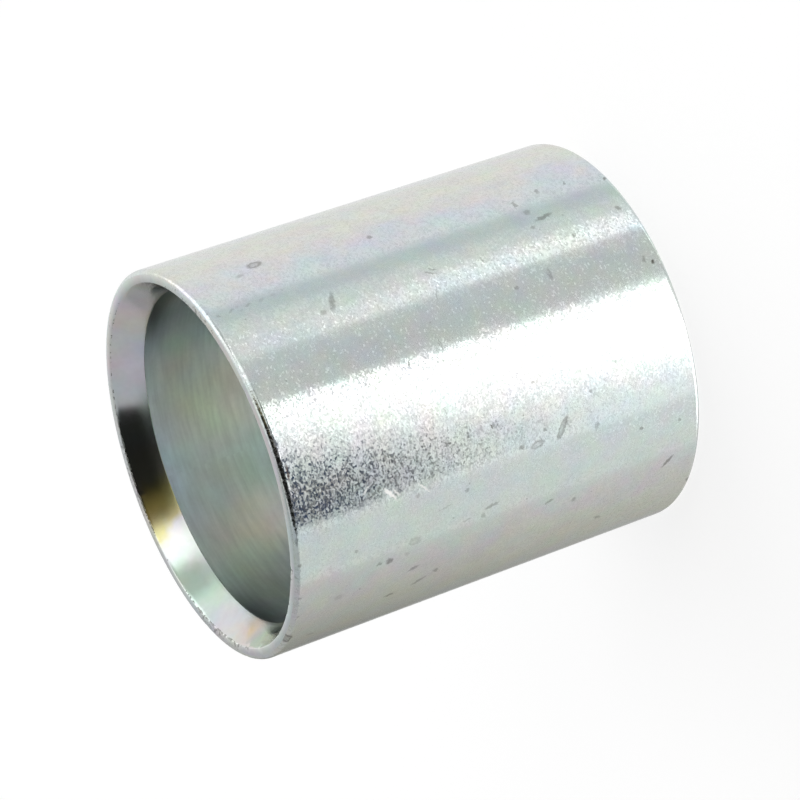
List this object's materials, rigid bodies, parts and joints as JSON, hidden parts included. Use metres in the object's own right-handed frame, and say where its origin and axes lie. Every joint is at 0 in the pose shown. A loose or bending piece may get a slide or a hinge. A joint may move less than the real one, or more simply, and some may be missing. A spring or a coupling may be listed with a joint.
{
  "type": "crimp hose ferrule",
  "caption": "Straight turned steel sleeve with a smooth bore, a conical hose mouth and an inner locking lip, pressed round a hose end to grip it on its tail.",
  "frame": {"origin": "centre of the fitting end's flat face, on which the sleeve stands", "axes": "+Z along the bore, from the fitting end to the hose mouth; X and Y are free, as the sleeve is round"},
  "size_m": [0.042, 0.042, 0.048],
  "materials": {
    "zinc_plate": "bright zinc plating with a faint iridescent passivate over a fine drawn grain"
  },
  "bodies": {
    "root": {"ferrule": "zinc_plate"}
  },
  "joints": []
}
